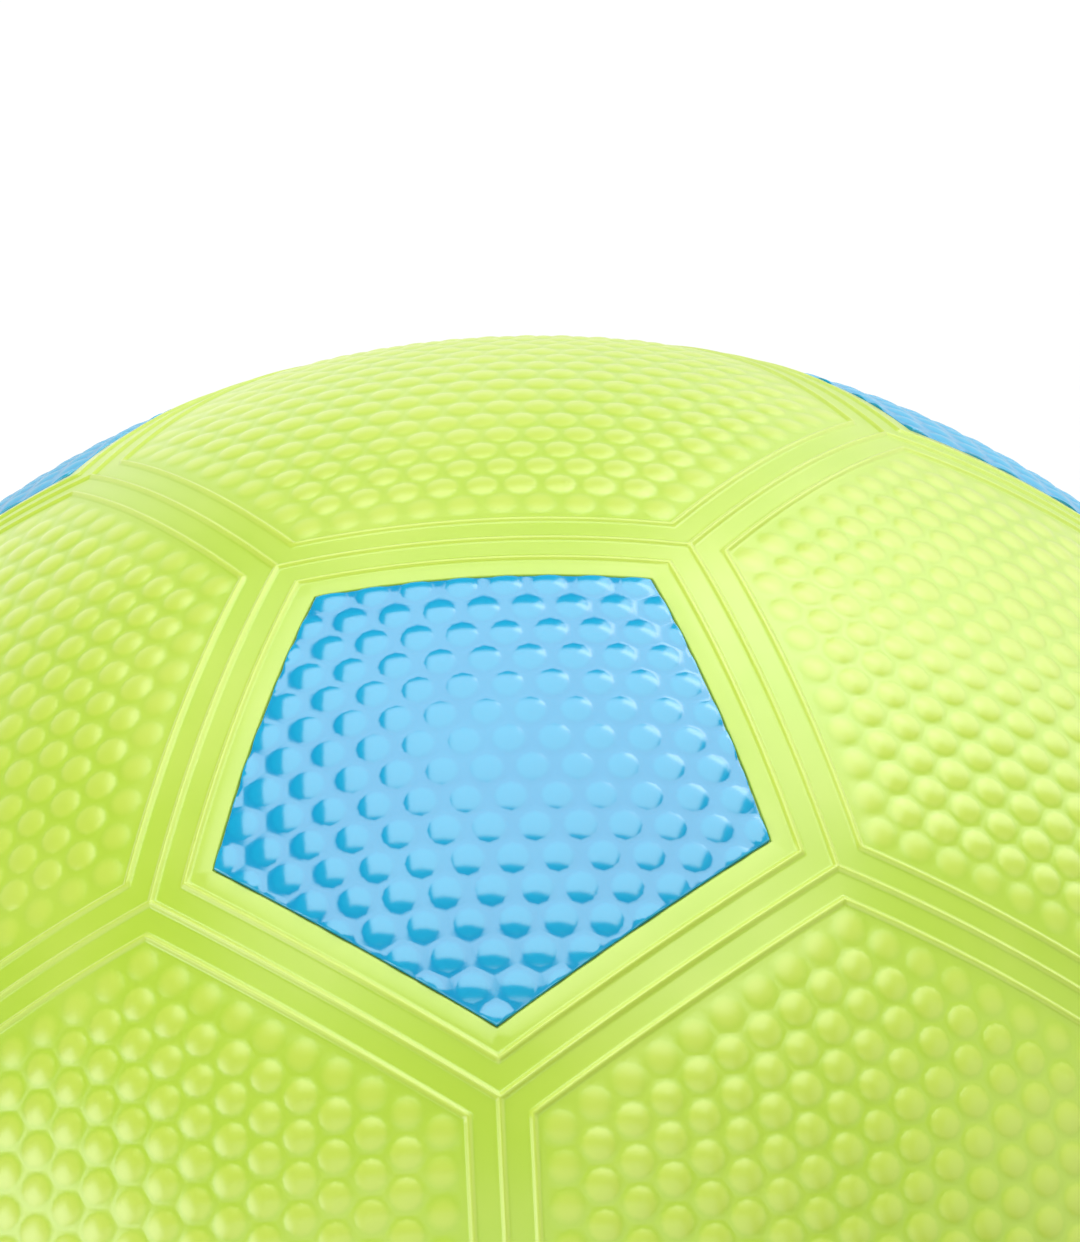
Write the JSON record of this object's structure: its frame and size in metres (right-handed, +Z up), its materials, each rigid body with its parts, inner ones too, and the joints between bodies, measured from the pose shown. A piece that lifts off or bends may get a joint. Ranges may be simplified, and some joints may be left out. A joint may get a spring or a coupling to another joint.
{
  "type": "netball",
  "caption": "Moulded rubber netball: pebbled lime cover panels with ribbed joints and blue five-sided inlays over carcass, winding and bladder, with a needle valve.",
  "frame": {"origin": "centre of the ball", "axes": "+Z up through the middle of the crown pentagon, one corner of that pentagon towards -Y, valve at the back, towards +Y"},
  "size_m": [0.2228, 0.2226, 0.2228],
  "materials": {
    "lime_rubber": "moulded, pebbled, satin",
    "blue_rubber": "moulded, pebbled, satin",
    "carcass_rubber": "plain moulded, matt",
    "nylon_thread": "wound thread set in latex",
    "butyl_bladder": "smooth, matt",
    "valve_rubber": "smooth moulded, satin",
    "valve_core_rubber": "smooth moulded, satin"
  },
  "bodies": {
    "root": {"bladder": "butyl_bladder", "thread_winding": "nylon_thread", "carcass": "carcass_rubber", "valve_body": "valve_rubber", "valve_core": "valve_core_rubber", "crown_pentagon": "lime_rubber", "crown_inlay": "blue_rubber", "base_pentagon": "lime_rubber", "base_inlay": "blue_rubber", "crown_hexagon_1": "lime_rubber", "upper_hexagon_1": "lime_rubber", "lower_hexagon_1": "lime_rubber", "base_hexagon_1": "lime_rubber", "upper_pentagon_1": "lime_rubber", "lower_pentagon_1": "lime_rubber", "upper_inlay_1": "blue_rubber", "lower_inlay_1": "blue_rubber", "crown_hexagon_2": "lime_rubber", "upper_hexagon_2": "lime_rubber", "lower_hexagon_2": "lime_rubber", "base_hexagon_2": "lime_rubber", "upper_pentagon_2": "lime_rubber", "lower_pentagon_2": "lime_rubber", "upper_inlay_2": "blue_rubber", "lower_inlay_2": "blue_rubber", "crown_hexagon_3": "lime_rubber", "upper_hexagon_3": "lime_rubber", "lower_hexagon_3": "lime_rubber", "base_hexagon_3": "lime_rubber", "upper_pentagon_3": "lime_rubber", "lower_pentagon_3": "lime_rubber", "upper_inlay_3": "blue_rubber", "lower_inlay_3": "blue_rubber", "crown_hexagon_4": "lime_rubber", "upper_hexagon_4": "lime_rubber", "lower_hexagon_4": "lime_rubber", "base_hexagon_4": "lime_rubber", "upper_pentagon_4": "lime_rubber", "lower_pentagon_4": "lime_rubber", "upper_inlay_4": "blue_rubber", "lower_inlay_4": "blue_rubber", "crown_hexagon_5": "lime_rubber", "upper_hexagon_5": "lime_rubber", "lower_hexagon_5": "lime_rubber", "base_hexagon_5": "lime_rubber", "upper_pentagon_5": "lime_rubber", "lower_pentagon_5": "lime_rubber", "upper_inlay_5": "blue_rubber", "lower_inlay_5": "blue_rubber"}
  },
  "joints": []
}
